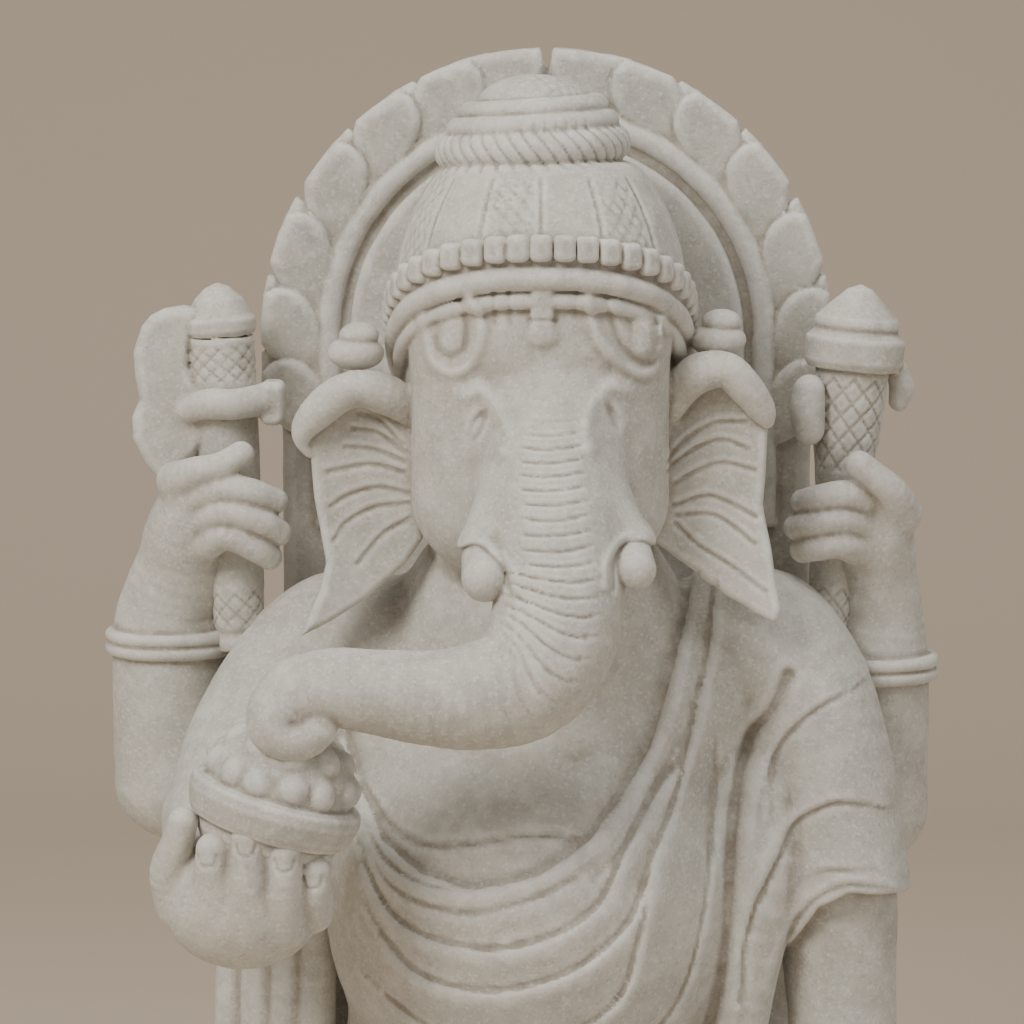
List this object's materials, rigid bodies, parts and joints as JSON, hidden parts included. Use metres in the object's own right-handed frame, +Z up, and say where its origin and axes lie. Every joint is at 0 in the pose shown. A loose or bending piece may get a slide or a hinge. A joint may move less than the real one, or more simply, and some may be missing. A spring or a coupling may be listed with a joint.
{
  "type": "ganesha idol",
  "caption": "Seated four-armed elephant-headed idol in white marble with axe, mace, sweet bowl and petalled halo slab, on a lotus pedestal.",
  "frame": {"origin": "centre of the plinth's underside", "axes": "+Z up, front of the idol towards -Y, the idol's own right hands on the -X side"},
  "size_m": [0.56, 0.37, 0.914],
  "materials": {
    "white_marble": "hand-carved, rubbed matt, dirt in the grooves",
    "dowel_steel": "plain round bar"
  },
  "bodies": {
    "root": {"axe_cap": "white_marble", "axe_head": "white_marble", "axe_shaft": "white_marble", "back_slab": "white_marble", "bead_band": "white_marble", "brow_fillet": "white_marble", "brow_roll": "white_marble", "crown_cap": "white_marble", "crown_finial": "white_marble", "crown_rope_roll": "white_marble", "crown_upper_roll": "white_marble", "dowels": "dowel_steel", "forehead_mark": "white_marble", "front_left_arm": "white_marble", "front_left_hand": "white_marble", "front_right_arm": "white_marble", "front_right_hand": "white_marble", "halo_panel": "white_marble", "halo_ring": "white_marble", "head": "white_marble", "left_ear": "white_marble", "left_ear_knob": "white_marble", "left_eye": "white_marble", "left_foot": "white_marble", "left_leg": "white_marble", "left_temple_boss": "white_marble", "left_tusk": "white_marble", "left_tusk_sheath": "white_marble", "lotus_drum": "white_marble", "lotus_petals": "white_marble", "mace_cap": "white_marble", "mace_handle": "white_marble", "mace_lobes": "white_marble", "plinth": "white_marble", "rear_left_arm": "white_marble", "rear_left_bangle": "white_marble", "rear_left_hand": "white_marble", "rear_right_arm": "white_marble", "rear_right_bangle": "white_marble", "rear_right_hand": "white_marble", "right_ear": "white_marble", "right_ear_knob": "white_marble", "right_eye": "white_marble", "right_foot": "white_marble", "right_leg": "white_marble", "right_temple_boss": "white_marble", "right_tusk": "white_marble", "right_tusk_sheath": "white_marble", "rim_petals": "white_marble", "rim_tips": "white_marble", "seat_slab": "white_marble", "shawl": "white_marble", "shawl_fall": "white_marble", "shawl_sleeve": "white_marble", "sweet_bowl": "white_marble", "sweets": "white_marble", "torso": "white_marble", "trunk": "white_marble"}
  },
  "joints": []
}
